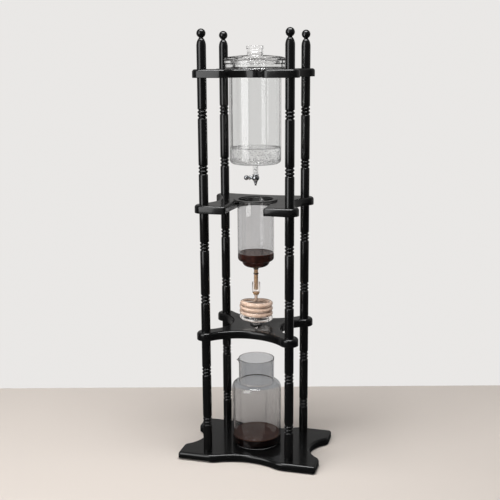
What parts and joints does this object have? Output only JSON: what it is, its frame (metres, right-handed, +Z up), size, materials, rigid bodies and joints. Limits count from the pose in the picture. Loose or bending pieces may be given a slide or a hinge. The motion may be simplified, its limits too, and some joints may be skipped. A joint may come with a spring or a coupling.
{
  "type": "cold drip coffee tower",
  "caption": "Tall cold drip coffee tower: black turned-post stand with shelves, glass water vessel with lid and needle tap, grounds chamber, glass cooling coil and spouted carafe.",
  "frame": {"origin": "middle of the base at the bottom of the foot pads, on the table under the stand's middle axis", "axes": "+Z up along the tower; +Y to the back, so the front with the open slot of the middle shelf faces -Y; +X to the right, with the tap's knob and the carafe's spout towards -X"},
  "size_m": [0.396, 0.26, 1.1891],
  "materials": {
    "black_wood": "gloss black lacquer",
    "glass": "clear, polished",
    "chrome": "polished",
    "filter": "matte, porous",
    "silicone": "matte",
    "felt": "matte"
  },
  "bodies": {
    "stand": {"lower_front_left_post": "black_wood", "lower_front_right_post": "black_wood", "lower_back_left_post": "black_wood", "lower_back_right_post": "black_wood", "middle_front_left_post": "black_wood", "middle_front_right_post": "black_wood", "middle_back_left_post": "black_wood", "middle_back_right_post": "black_wood", "upper_front_left_post": "black_wood", "upper_front_right_post": "black_wood", "upper_back_left_post": "black_wood", "upper_back_right_post": "black_wood", "finials": "black_wood", "base_plate": "black_wood", "lower_shelf": "black_wood", "middle_shelf": "black_wood", "top_shelf": "black_wood", "foot_pads": "felt", "coil_bush": "silicone"},
    "vessel": {"water_vessel": "glass", "tap_body": "chrome", "tap_gland": "chrome", "drip_tip": "chrome"},
    "lid": {"vessel_lid": "glass"},
    "needle": {"tap_needle": "chrome"},
    "knob": {"tap_knob": "chrome"},
    "chamber": {"grounds_chamber": "glass", "filter_disc": "filter"},
    "coil": {"condenser_coil": "glass", "coil_bell": "glass", "coil_outlet": "glass"},
    "carafe": {"carafe": "glass"}
  },
  "joints": [
    {"name": "vessel_lift", "type": "slide", "parent": "stand", "child": "vessel", "axis": [0, 0, 1], "range_m": [0, 0.34]},
    {"name": "lid_lift", "type": "slide", "parent": "vessel", "child": "lid", "axis": [0, 0, 1], "range_m": [0, 0.05]},
    {"name": "needle_travel", "type": "slide", "parent": "vessel", "child": "needle", "axis": [-1, 0, 0], "range_m": [0, 0.0015]},
    {"name": "knob_turn", "type": "hinge", "parent": "needle", "child": "knob", "pos_m": [-0.026, 0, 0.7939], "axis": [1, 0, 0], "range_deg": [0, 720]},
    {"name": "chamber_lift", "type": "slide", "parent": "stand", "child": "chamber", "axis": [0, 0, 1], "range_m": [0, 0.09]},
    {"name": "coil_lift", "type": "slide", "parent": "stand", "child": "coil", "axis": [0, 0, 1], "range_m": [0, 0.006]},
    {"name": "carafe_slide", "type": "slide", "parent": "stand", "child": "carafe", "axis": [0, -1, 0], "range_m": [0, 0.3]}
  ],
  "couplings": [
    {"joint": "needle_travel", "follows": "knob_turn", "m_per_rad": 0.00011935}
  ]
}
